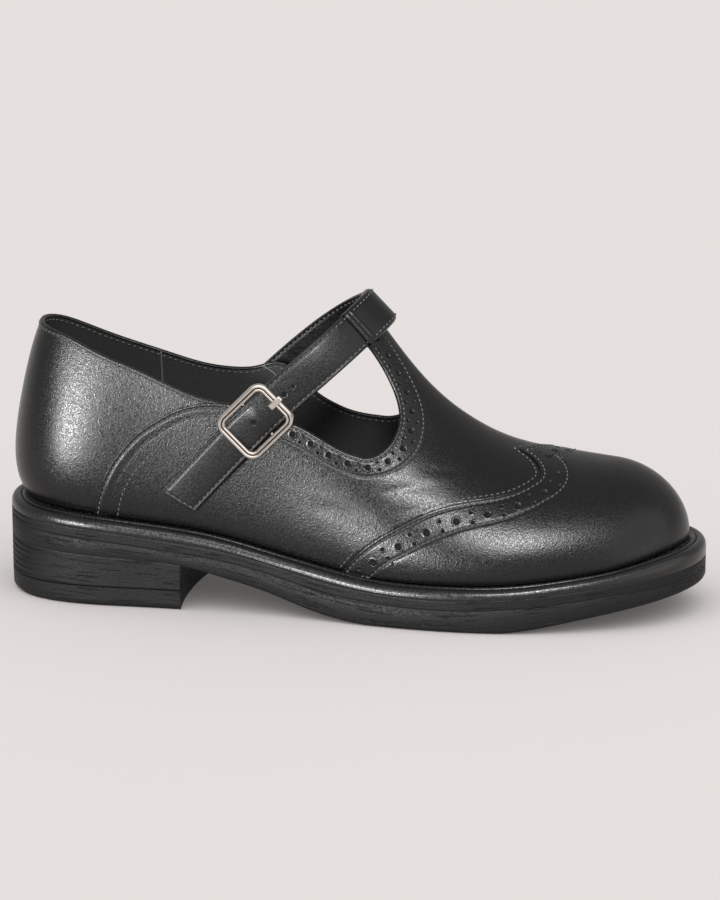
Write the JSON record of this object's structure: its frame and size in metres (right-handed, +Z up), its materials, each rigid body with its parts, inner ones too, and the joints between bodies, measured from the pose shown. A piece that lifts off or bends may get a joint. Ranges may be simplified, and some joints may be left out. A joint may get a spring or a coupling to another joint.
{
  "type": "strap flat shoe",
  "caption": "Women's T-bar strap flat in black leather with wing tip and brogue holes, side buckle, welted rubber sole and low block heel.",
  "frame": {"origin": "middle of the shoe's footprint, on the floor it stands on", "axes": "+X towards the toe, +Y towards the inner side of the foot, +Z up; the outer side with the buckle faces -Y"},
  "size_m": [0.27, 0.0921, 0.1211],
  "materials": {
    "black_leather": "semi-gloss, fine grain",
    "lining": "matte",
    "sole_rubber": "dull, finely striated",
    "nickel": "polished, warm"
  },
  "bodies": {
    "root": {"outsole": "sole_rubber", "midsole": "sole_rubber", "welt": "sole_rubber", "heel_block": "sole_rubber", "heel_top_lift": "sole_rubber", "insole": "lining", "upper": "black_leather", "strap": "black_leather", "strap_loop": "black_leather", "buckle_frame": "nickel", "buckle_prong": "nickel"}
  },
  "joints": []
}
